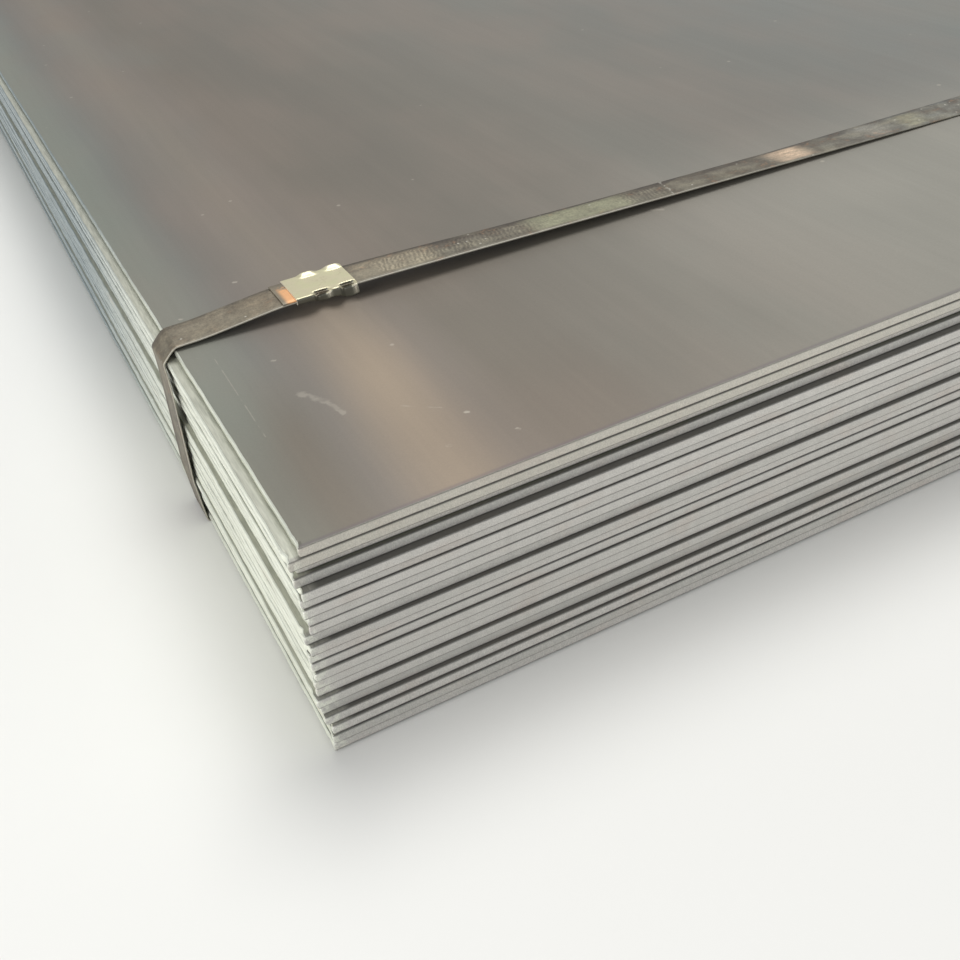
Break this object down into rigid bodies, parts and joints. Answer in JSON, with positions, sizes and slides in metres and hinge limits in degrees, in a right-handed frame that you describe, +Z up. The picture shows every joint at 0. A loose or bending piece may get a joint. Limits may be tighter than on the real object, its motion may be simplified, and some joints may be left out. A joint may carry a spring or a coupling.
{
  "type": "strapped bundle of steel plates",
  "caption": "Stack of like hot-rolled steel plates lying flat, held together by steel straps with crimped seals.",
  "frame": {"origin": "under the middle of the bundle, level with the undersides of the straps that it rests on", "axes": "+X across the plates, +Y along the plates' length, +Z up"},
  "size_m": [1.5142, 3.013, 0.147],
  "materials": {
    "plate_steel": "grey mill scale with heat tints, bright rolled edges and pale sheared ends",
    "strap_steel": "dull brown-grey strapping with dirt and light rust",
    "seal_steel": "zinc plated, pale greenish, crimped"
  },
  "bodies": {
    "root": {"plate_01": "plate_steel", "plate_02": "plate_steel", "plate_03": "plate_steel", "plate_04": "plate_steel", "plate_05": "plate_steel", "plate_06": "plate_steel", "plate_07": "plate_steel", "plate_08": "plate_steel", "plate_09": "plate_steel", "plate_10": "plate_steel", "plate_11": "plate_steel", "plate_12": "plate_steel", "plate_13": "plate_steel", "plate_14": "plate_steel", "plate_15": "plate_steel", "plate_16": "plate_steel", "plate_17": "plate_steel", "plate_18": "plate_steel", "plate_19": "plate_steel", "plate_20": "plate_steel", "plate_21": "plate_steel", "plate_22": "plate_steel", "strap_front": "strap_steel", "seal_front": "seal_steel", "strap_middle": "strap_steel", "seal_middle": "seal_steel", "strap_rear": "strap_steel", "seal_rear": "seal_steel"}
  },
  "joints": []
}
